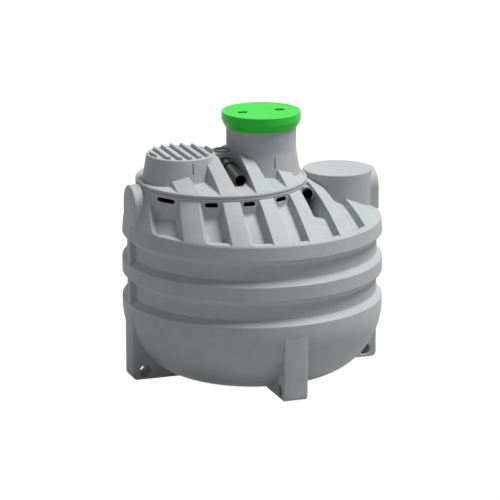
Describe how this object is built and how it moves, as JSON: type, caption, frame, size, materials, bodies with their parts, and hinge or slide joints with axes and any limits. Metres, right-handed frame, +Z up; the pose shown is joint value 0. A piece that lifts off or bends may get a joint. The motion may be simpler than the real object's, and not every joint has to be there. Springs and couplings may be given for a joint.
{
  "type": "rainwater retention tank",
  "caption": "Round ribbed plastic underground rainwater retention tank with a bowl bottom, feet with lifting eyes, ribbed shoulder, two blanked turrets and an access neck with lid.",
  "frame": {"origin": "on the ground at the centre of the tank's footprint", "axes": "+Z up, +X towards the plain right turret, -Y towards the front"},
  "size_m": [2.35, 2.35, 2.371],
  "materials": {
    "grey_body": "satin rotomoulded polyethylene",
    "green_lid": "satin moulded polyethylene",
    "dark_grip": "satin",
    "dark_cap": "satin",
    "black_pipe": "semi-gloss"
  },
  "bodies": {
    "root": {"bottom_bowl": "grey_body", "collar": "grey_body", "deck": "grey_body", "deck_rib_1": "grey_body", "deck_rib_2": "grey_body", "deck_rib_3": "grey_body", "deck_rib_4": "grey_body", "foot_back": "grey_body", "foot_front": "grey_body", "foot_left": "grey_body", "foot_right": "grey_body", "left_turret": "grey_body", "left_turret_top": "grey_body", "lid": "green_lid", "lid_grip_bars": "dark_grip", "low_pipe": "black_pipe", "low_pipe_socket": "grey_body", "lower_wall_back_left": "grey_body", "lower_wall_back_right": "grey_body", "lower_wall_front_left": "grey_body", "lower_wall_front_right": "grey_body", "neck": "grey_body", "pipe_well": "grey_body", "posts_left": "grey_body", "posts_right": "grey_body", "right_turret": "grey_body", "right_turret_top": "grey_body", "saddle": "grey_body", "saddle_boss": "dark_cap", "shoulder": "grey_body", "shoulder_cheek_left": "grey_body", "shoulder_cheek_right": "grey_body", "shoulder_rib_1": "grey_body", "shoulder_rib_2": "grey_body", "shoulder_rib_3": "grey_body", "shoulder_rib_4": "grey_body", "shoulder_rib_5": "grey_body", "stub_left": "grey_body", "stub_right": "grey_body", "upper_pipe": "black_pipe", "upper_pipe_socket": "grey_body", "upper_wall_back_left": "grey_body", "upper_wall_back_right": "grey_body", "upper_wall_front_left": "grey_body", "upper_wall_front_right": "grey_body"}
  },
  "joints": []
}
